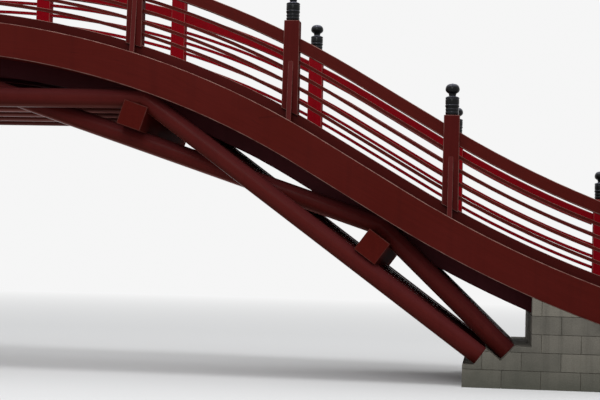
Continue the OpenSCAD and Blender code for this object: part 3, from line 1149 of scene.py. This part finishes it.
@dataclass
class Parapet:
    """Handrail and slender rails of one parapet, swept along the mid-lines of its bays."""

    side: str
    former: Former
    material: Material
    handrail_arris: float = 0.009
    handrail_cap: float = 0.020
    rail_arris: float = 0.004

    @staticmethod
    def mid_line(group: Sequence[Corner]) -> Rail:
        """Reads one rail of one bay.

        Args:
            group: its corners.

        Returns:
            The rail. Its line has a point wherever the rail has nearly its full depth.
        """
        nearly_full = 0.8
        stations: dict[float, list[Corner]] = {}
        for corner in group:
            stations.setdefault(round(corner.co.x, 3), []).append(corner)
        spans = {x: extent(corners, 2) for x, corners in sorted(stations.items())}
        least = nearly_full * max(high - low for low, high in spans.values())
        full = {x: (low, high) for x, (low, high) in spans.items() if high - low > least}
        near, far = extent(group, 1)
        line = [Vector((x, (near + far) / 2, (low + high) / 2)) for x, (low, high) in full.items()]
        upright = sum(high - low for low, high in full.values()) / len(full)
        run = line[-1] - line[0]
        return Rail(line, far - near, upright * run.x / run.length)

    def rails(self, nodes: Iterable[str]) -> list[Rail]:
        """Reads the rails of the whole parapet.

        Args:
            nodes: the nodes of its bays, in order.

        Returns:
            The rails, from the lowest up.
        """
        bays = []
        for node in nodes:
            solid = merged(node)
            found = [self.mid_line(group) for group in islands(solid)]
            bays.append(sorted(found, key=lambda rail: rail.line[0].z))
            solid.free()
        return [Rail([point for part in parts for point in part.line], parts[0].width, parts[0].depth)
                for parts in zip(*bays)]

    def capped(self, rail: Rail) -> Rail:
        """Lays a cap on the handrail.

        Args:
            rail: the handrail.

        Returns:
            One deeper rail that stands for both.
        """
        run, climb = (np.gradient([point[axis] for point in rail.line]) for axis in (0, 2))
        rises = np.hypot(run, climb) / run * self.handrail_cap / 2
        raised = [point + Vector((0.0, 0.0, rise)) for point, rise in zip(rail.line, rises.tolist())]
        return Rail(raised, rail.width, rail.depth + self.handrail_cap)

    def sweep(self, name: str, rails: Sequence[Rail], arris: float) -> Object:
        """Sweeps several rails of one section as one piece.

        Args:
            name: name of the piece.
            rails: the rails.
            arris: radius of their arrises.

        Returns:
            The piece.
        """
        mesh = bpy.data.meshes.new(name + "_lines")
        points, edges, rows = [], [], []
        for number, rail in enumerate(rails):
            start = len(points)
            points += rail.line
            edges += [(i, i + 1) for i in range(start, len(points) - 1)]
            rows += [float(number)] * len(rail.line)
        mesh.from_pydata(points, edges, [])
        mesh.attributes.new("row", "FLOAT", "POINT").data.foreach_set("value", rows)
        return self.former.form(
            name, mesh, Width=rails[0].width, Height=rails[0].depth, Arris=arris, Material=self.material)

    def build(self) -> None:
        """Builds the handrail and the slender rails."""
        nodes = [f"railing_{self.side}_{bay}" for bay in range(1, BAYS + 1)]
        *slender, handrail = self.rails(nodes)
        settle(self.sweep(f"slender_rails_{self.side}", slender, self.rail_arris), Slot.RED, *nodes)
        handrail = self.capped(handrail)
        settle(self.sweep(f"handrail_{self.side}", [handrail], self.handrail_arris), Slot.RED, *nodes)


@dataclass
class Deck:
    """Planks, risers and nails of the crown and of the two flights."""

    board: Material
    iron: Material
    plank_gap: float = 0.004
    riser_gap: float = 0.0005
    arris: float = 0.003
    nail_head: float = 0.016
    nail_height: float = 0.004
    nail_inset: float = 0.028
    board_depth: float = 0.045
    nails: list[tuple[Vector, Vector]] = field(default_factory=list)

    def rows(self) -> list[float]:
        """Finds where the boards are nailed down.

        Returns:
            Where the mid-lines of the carriages lie across the bridge.
        """
        solid = merged("deck_carriages")
        middles = {round(sum(v.co.y for v in group) / len(group), 2) for group in islands(solid)}
        solid.free()
        return sorted(middles)

    @staticmethod
    def alone(group: Sequence[Corner]) -> Solid:
        """Copies one body of a mesh.

        Args:
            group: its corners.

        Returns:
            The body alone, which the caller frees.
        """
        one = bmesh.new()
        copies = {corner: one.verts.new(corner.co) for corner in group}
        for face in dict.fromkeys(face for corner in group for face in corner.link_faces):
            one.faces.new([copies[corner] for corner in face.verts])
        return one

    def split(self, solid: Solid, rows: Sequence[float], stepped: bool) -> Solid:
        """Cuts each board of a node into two planks and, on a flight, its riser.

        Args:
            solid: the merged node, which is freed.
            rows: where the nails go across the bridge.
            stepped: whether the boards have risers.

        Returns:
            A mesh of planks and risers.
        """
        done = bmesh.new()
        half_gap = self.plank_gap / 2
        for group in islands(solid):
            one = self.alone(group)
            _, top = extent(group, 2)
            underside = top - self.board_depth
            boards = slab(one, 2, underside, top + BEYOND) if stepped else one.copy()
            low, high = extent(boards.verts, 0)
            middle = (low + high) / 2
            for start, end in ((low - BEYOND, middle - half_gap), (middle + half_gap, high + BEYOND)):
                plank = slab(boards, 0, start, end)
                self.mark_nails(plank, rows)
                absorb(done, plank)
            boards.free()
            if stepped:
                absorb(done, slab(one, 2, -BEYOND, underside - self.riser_gap))
            one.free()
        solid.free()
        return done

    def mark_nails(self, plank: Solid, rows: Sequence[float]) -> None:
        """Notes where the nails of one plank go, one over each carriage.

        Args:
            plank: the plank.
            rows: where the nails go across the bridge.
        """
        face = max(plank.faces, key=lambda f: f.normal.z * f.calc_area())
        face.normal_update()
        middle = face.calc_center_median()
        slope = -face.normal.x / face.normal.z
        start, end = extent(face.verts, 0)
        for number, y in enumerate(rows):
            shift = ((end - start) / 2 - self.nail_inset) * (1 if number % 2 else -1)
            point = Vector((middle.x + shift, y, middle.z + shift * slope))
            self.nails.append((point, face.normal.copy()))

    def lay_boards(self, node: str, name: str, rows: Sequence[float], stepped: bool, seed: int) -> None:
        """Lays the planks of one node.

        Args:
            node: the node's name.
            name: name of the piece.
            rows: where the nails go across the bridge.
            stepped: whether the boards have risers.
            seed: seed of the grain's offsets.
        """
        solid = merged(node)
        solid.normal_update()
        planks = self.split(solid, rows, stepped)
        bmesh.ops.recalc_face_normals(planks, faces=planks.faces)
        round_arrises(planks, self.arris, segments=1)
        mark_grain(planks, seed)
        settle(to_object(planks, name, self.board), Slot.BOARD, node)

    def build(self) -> None:
        """Lays the planks, the risers and the nails."""
        rows = self.rows()
        self.lay_boards("crown_boards", "crown_planks", rows, stepped=False, seed=53)
        for end in ENDS:
            self.lay_boards(f"steps_{end}", f"flight_{end}", rows, stepped=True, seed=59)
        mesh = bpy.data.meshes.new("nail_points")
        mesh.from_pydata([point for point, _ in self.nails], [], [])
        facing = mesh.attributes.new("facing", "FLOAT_VECTOR", "POINT")
        facing.data.foreach_set("vector", [value for _, normal in self.nails for value in normal])
        nails = nail_former().form(
            "board_nails", mesh, Head=self.nail_head, Height=self.nail_height, Material=self.iron)
        settle(nails, Slot.BLACK)


@dataclass
class Finials:
    """Turned finials, one on each post's top."""

    material: Material
    segments: int = 56
    seed: int = 61
    drum: float = 0.0865
    bead_middles: tuple[float, ...] = (0.034, 0.076)
    bead: tuple[Point, ...] = (
        (-0.012, 0.0865), (-0.008, 0.0878), (-0.004, 0.0902), (0.0, 0.0910),
        (0.004, 0.0902), (0.008, 0.0878), (0.012, 0.0865))
    collar: tuple[Point, ...] = (
        (0.106, 0.0865), (0.111, 0.089), (0.116, 0.093), (0.121, 0.094), (0.131, 0.094), (0.136, 0.0925),
        (0.139, 0.089), (0.144, 0.0872), (0.149, 0.0885), (0.153, 0.0918), (0.158, 0.092), (0.211, 0.092),
        (0.216, 0.0905), (0.219, 0.087), (0.222, 0.087), (0.225, 0.0915), (0.230, 0.094), (0.235, 0.093),
        (0.240, 0.0895), (0.245, 0.084), (0.249, 0.076), (0.2515, 0.066))
    neck: tuple[Point, ...] = ((0.255, 0.052), (0.262, 0.0472), (0.272, 0.0472))
    ball_middle: float = 0.345
    ball_radius: float = 0.0948
    # Angles of the ball's points from its widest place, in degrees.
    ball_angles: range = range(-56, 78, 7)
    under_half: float = 0.062
    dome_half: float = 0.0775
    dome_power: float = 0.65
    tip: float = 0.4295
    below_tip: tuple[Point, ...] = ((0.0062, 0.0200), (0.0035, 0.0110), (0.0012, 0.0055))

    def outline(self) -> list[Point]:
        """Works out the profile that is turned.

        Returns:
            Heights and radii from the foot to just below the tip.
        """
        beads = [(middle + up, radius) for middle in self.bead_middles for up, radius in self.bead]
        ball = []
        for degrees in self.ball_angles:
            angle = math.radians(degrees)
            half, power = (self.dome_half, self.dome_power) if angle > 0 else (self.under_half, 1.0)
            height = self.ball_middle + half * math.sin(angle)
            ball.append((height, self.ball_radius * math.cos(angle) ** power))
        tip = [(self.tip - below, radius) for below, radius in self.below_tip]
        return [(0.0, self.drum), *beads, *self.collar, *self.neck, *ball, *tip]

    def turning(self) -> Object:
        """Turns one finial.

        Returns:
            The finial, standing at the origin.
        """
        solid = bmesh.new()
        grain = solid.verts.layers.float_vector.new("grain")
        turns = [math.tau * i / self.segments for i in range(self.segments)]
        sides = [(i, (i + 1) % self.segments) for i in range(self.segments)]
        rings = []
        for height, radius in self.outline():
            ring = []
            for angle in turns:
                corner = solid.verts.new((radius * math.cos(angle), radius * math.sin(angle), height))
                corner[grain] = (height, math.cos(angle), math.sin(angle))
                ring.append(corner)
            rings.append(ring)
        for low, high in zip(rings, rings[1:]):
            for i, j in sides:
                solid.faces.new((low[i], low[j], high[j], high[i]))
        solid.faces.new(reversed(rings[0]))
        tip = solid.verts.new((0.0, 0.0, self.tip))
        for i, j in sides:
            solid.faces.new((rings[-1][i], rings[-1][j], tip))
        return to_object(solid, "finial_turning", self.material, smooth_below=50.0)

    def build(self) -> None:
        """Sets the finials on the posts."""
        feet = []
        solid = merged("finials")
        for group in islands(solid):
            along, across, upright = (extent(group, axis) for axis in range(3))
            feet.append((sum(along) / 2, sum(across) / 2, upright[0]))
        solid.free()
        mesh = bpy.data.meshes.new("finial_feet")
        mesh.from_pydata(feet, [], [])
        turning = self.turning()
        made = finial_former().form(
            "turned_finials", mesh, Turning=turning, Seed=self.seed, Material=self.material)
        bpy.data.objects.remove(turning)
        settle(made, Slot.BLACK, "finials")


@dataclass
class Abutment:
    """Block masonry of one abutment, cut from its CAD solid course by course."""

    end: str
    stone: Material
    mortar: Material
    course: float = 0.235
    block_x: float = 0.52
    block_y: float = 0.55
    # How far every other course is shifted, as a share of a block.
    bond: float = 0.5
    joint: float = 0.008
    arris: float = 0.011
    recess: float = 0.012

    def cells(self, low: float, high: float, size: float, shift: float) -> list[tuple[float, float]]:
        """Ranges of one row of blocks, with a joint between neighbours.

        Args:
            low: where the solid starts.
            high: where it ends.
            size: length of a block, about.
            shift: how far the row is shifted, as a share of a block.

        Returns:
            The start and end of each block. The outer ones reach past the solid.
        """
        count = max(1, round((high - low) / size))
        step = (high - low) / count
        inner = [low + (i + shift) * step for i in range(0 if shift else 1, count)]
        marks = [low - BEYOND, *inner, high + BEYOND]
        return [(a + self.joint / 2, b - self.joint / 2) for a, b in zip(marks, marks[1:])]

    def blocks(self) -> Solid:
        """Cuts the abutment into blocks.

        Returns:
            The blocks that show on the outside.
        """
        solid = merged(f"abutment_{self.end}")
        low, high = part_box(f"abutment_{self.end}")
        done = bmesh.new()
        for course, heights in enumerate(self.cells(low.z, high.z, self.course, 0.0)):
            layer = slab(solid, 2, *heights)
            shift = self.bond if course % 2 else 0.0
            for lengths in self.cells(low.x, high.x, self.block_x, shift):
                row = slab(layer, 0, *lengths)
                for widths in self.cells(low.y, high.y, self.block_y, shift):
                    block = slab(row, 1, *widths)
                    if self.shows(block, (lengths, widths, heights)):
                        absorb(done, block)
                    else:
                        block.free()
                row.free()
            layer.free()
        solid.free()
        return done

    @staticmethod
    def shows(block: Solid, cell: Sequence[tuple[float, float]]) -> bool:
        """Whether any face of a block lies on the abutment's outside.

        Args:
            block: the block.
            cell: the ranges that it was cut to.

        Returns:
            True where a face lies off all the cuts.
        """
        for face in block.faces:
            middle = face.calc_center_median()
            if all(abs(middle[axis] - value) > TOUCH for axis in range(3) for value in cell[axis]):
                return True
        return False

    def build(self) -> None:
        """Builds the blocks and the mortar behind them."""
        node = f"abutment_{self.end}"
        solid = self.blocks()
        bmesh.ops.remove_doubles(solid, verts=solid.verts, dist=WELD)
        bmesh.ops.recalc_face_normals(solid, faces=solid.faces)
        round_arrises(solid, self.arris)
        mark_grain(solid, seed=67)
        settle(to_object(solid, f"blocks_{self.end}", self.stone), Slot.STONE, node)
        core = merged(node)
        core.normal_update()
        moves = [(v, v.normal * v.calc_shell_factor() * self.recess) for v in core.verts]
        for corner, move in moves:
            corner.co -= move
        settle(to_object(core, f"mortar_{self.end}", self.mortar), Slot.STONE, node)


# Studio


@dataclass(frozen=True)
class Viewpoint:
    """The camera that matches the photograph's frame. Angles are in degrees."""

    lens: float = 88.906
    film: float = 36.0
    place: tuple[float, float, float] = (8.056, -21.037, 1.452)
    yaw: float = 7.24
    pitch: float = 2.72
    roll: float = 1.55
    farthest: float = 500.0

    def build(self) -> None:
        """Builds the camera and makes it the scene's."""
        yaw, pitch, roll = (math.radians(a) for a in (self.yaw, self.pitch, self.roll))
        ahead = Vector((-math.sin(yaw) * math.cos(pitch), math.cos(yaw) * math.cos(pitch), math.sin(pitch)))
        level = Vector((math.cos(yaw), math.sin(yaw), 0.0))
        upright = level.cross(ahead)
        right = math.cos(roll) * level + math.sin(roll) * upright
        up = -math.sin(roll) * level + math.cos(roll) * upright
        data = bpy.data.cameras.new("viewpoint")
        data.lens, data.sensor_width, data.sensor_fit = self.lens, self.film, "HORIZONTAL"
        data.clip_end = self.farthest
        camera = bpy.data.objects.new("viewpoint", data)
        turned = Matrix((right, up, -ahead)).transposed().to_4x4()
        camera.matrix_world = Matrix.Translation(self.place) @ turned
        bpy.context.scene.collection.objects.link(camera)
        bpy.context.scene.camera = camera


@dataclass(frozen=True)
class Lamp:
    """A soft round lamp: where it hangs, what it is aimed at, its width and its power in watts."""

    name: str
    place: tuple[float, float, float]
    target: tuple[float, float, float]
    size: float
    power: float

    def build(self) -> None:
        """Hangs the lamp."""
        data = bpy.data.lights.new(self.name, "AREA")
        data.shape, data.size, data.energy = "DISK", self.size, self.power
        lamp = bpy.data.objects.new(self.name, data)
        aim = (Vector(self.target) - Vector(self.place)).to_track_quat("-Z", "Y")
        lamp.matrix_world = Matrix.Translation(self.place) @ aim.to_matrix().to_4x4()
        bpy.context.scene.collection.objects.link(lamp)


@dataclass(frozen=True)
class Studio:
    """Pale floor, white backdrop and soft lamps."""

    backdrop: float = 0.92
    floor_size: float = 220.0
    floor_sides: int = 96
    floor_pale: Colour = (226, 227, 228)
    floor_bounce: float = 0.42
    fade_start: float = 13.0
    fade_end: float = 55.0
    sky_top: float = 0.95
    sky_side: float = 0.55
    sky_low: float = 0.18
    lamps: tuple[Lamp, ...] = (
        Lamp("key", place=(5.0, -17.0, 13.0), target=(3.0, 0.0, 2.5), size=9.0, power=700.0),
        Lamp("top", place=(3.5, -3.0, 15.0), target=(3.5, 0.0, 3.0), size=3.0, power=500.0))

    @staticmethod
    def seen(tree: Tree) -> Socket:
        """Marks the rays that show the background.

        Args:
            tree: the tree of the world or of a material.

        Returns:
            1 for rays from the camera, of a reflection or through glass.
        """
        path = tree.node("ShaderNodeLightPath").outputs
        shown = tree.math("MAXIMUM", path["Is Camera Ray"], path["Is Glossy Ray"])
        return tree.math("MAXIMUM", shown, path["Is Transmission Ray"])

    def light_world(self) -> None:
        """White where it is seen, and a soft sky for the light."""
        world = bpy.data.worlds.new("studio")
        bpy.context.scene.world = world
        world.use_nodes = True
        tree = Shading(world.node_tree)
        sky = world.node_tree.nodes["Background"]
        upward = tree.axis(tree.node("ShaderNodeTexCoord").outputs["Generated"], 2)
        level = tree.math("MINIMUM", tree.remap(upward, 0.0, 1.0, self.sky_side, self.sky_top),
                          tree.remap(upward, -0.3, 0.05, self.sky_low, self.sky_top))
        shown = self.seen(tree)
        dim = tree.multiply(level, tree.math("SUBTRACT", 1.0, shown))
        tree.feed(sky.inputs["Color"], (1.0, 1.0, 1.0, 1.0))
        tree.feed(sky.inputs["Strength"], tree.add(dim, tree.multiply(shown, self.backdrop)))

    def lay_floor(self) -> None:
        """A wide floor that keeps the shadow and fades into the backdrop far from the object."""
        disc = bmesh.new()
        bmesh.ops.create_circle(disc, cap_ends=True, segments=self.floor_sides, radius=self.floor_size / 2)
        material = bpy.data.materials.new("studio_floor")
        material.use_nodes = True
        tree = Shading(material.node_tree)
        output = tree.data.nodes["Material Output"]
        tree.data.nodes.remove(tree.data.nodes["Principled BSDF"])
        inputs = {0: tree.place()}
        away = tree.node("ShaderNodeVectorMath", inputs, operation="LENGTH").outputs["Value"]
        seen = self.seen(tree)
        bounce = (self.floor_bounce,) * 3 + (1.0,)
        matt = tree.first("ShaderNodeBsdfDiffuse", {"Color": tree.mix(seen, bounce, paint(self.floor_pale))})
        inputs = {"Color": (1.0, 1.0, 1.0, 1.0), "Strength": self.backdrop}
        glow = tree.first("ShaderNodeEmission", inputs)
        fade = tree.multiply(tree.remap(away, self.fade_start, self.fade_end), seen)
        tree.feed(output.inputs["Surface"], tree.first("ShaderNodeMixShader", {0: fade, 1: matt, 2: glow}))
        floor = to_object(disc, "studio_floor", material)

    def build(self) -> None:
        """Builds the floor, the backdrop and the lamps."""
        self.light_world()
        self.lay_floor()
        for lamp in self.lamps:
            lamp.build()
        bpy.context.scene.view_settings.view_transform = "Standard"


def finishes() -> dict[str, Material]:
    """Builds every finish of the bridge.

    Returns:
        The materials by their keys.
    """
    # Painted sunlight: the brighter crimson laid on the parapets' faces turned to the walkway.
    sunlit_crimson = (124, 6, 18)
    coats = {
        "girder": TimberPaint("girder_paint"),
        # The curb's paint is darker than the girder's: painted shade on its face, set back above the girder.
        "curb": TimberPaint("curb_paint", colour=(67, 18, 15), faded=(72, 21, 19)),
        "post": TimberPaint("post_paint", colour=(74, 19, 17), faded=(80, 23, 21), wear_and_highlight=0.3, walkway=sunlit_crimson),
        "strut": TimberPaint("strut_paint", colour=(84, 27, 26), faded=(92, 32, 31), wear_and_highlight=0.3,
                             walkway=sunlit_crimson),
        "rail": TimberPaint("rail_paint", colour=(80, 22, 18), wear_and_highlight=0.5, walkway=sunlit_crimson),
        # The log paint carries a painted highlight on top, painted shade low down and a painted reflection
        # underneath.
        "log": TimberPaint("log_paint", colour=(82, 26, 24), faded=(88, 30, 27), coat=0.08, rim=1.0,
                           dust_amount=0.08, sky_highlight_amount=0.3, underside_shade_amount=0.5, damp_and_reflection=0.85),
        "beam": TimberPaint("beam_paint", coat=0.03, rim=0.02, wear_and_highlight=0.12),
        # Paler, bluer red on the timbers under the deck: a painted sheen of reflected light on their shaded
        # faces.
        "inner": TimberPaint("inner_paint", colour=(82, 33, 37), faded=(90, 39, 44)),
        "board": BoardPaint(),
        "gloss": FinialGloss(),
        "stone": DressedStone(),
        "mortar": LimeMortar(),
        "iron": ForgedIron(),
    }
    return {key: coat.build() for key, coat in coats.items()}


def main() -> None:
    """Builds the camera, the studio and every sub-assembly of the bridge."""
    logging.basicConfig(level=logging.INFO, format="%(name)s: %(message)s")
    Viewpoint().build()
    Studio().build()
    made = finishes()
    Timbers(DeckCurve(), made).build()
    former = rail_former()
    for side in SIDES:
        Parapet(side, former, made["rail"]).build()
    Deck(made["board"], made["iron"]).build()
    Finials(made["gloss"]).build()
    for end in ENDS:
        Abutment(end, made["stone"], made["mortar"]).build()


if __name__ == "__main__":
    main()
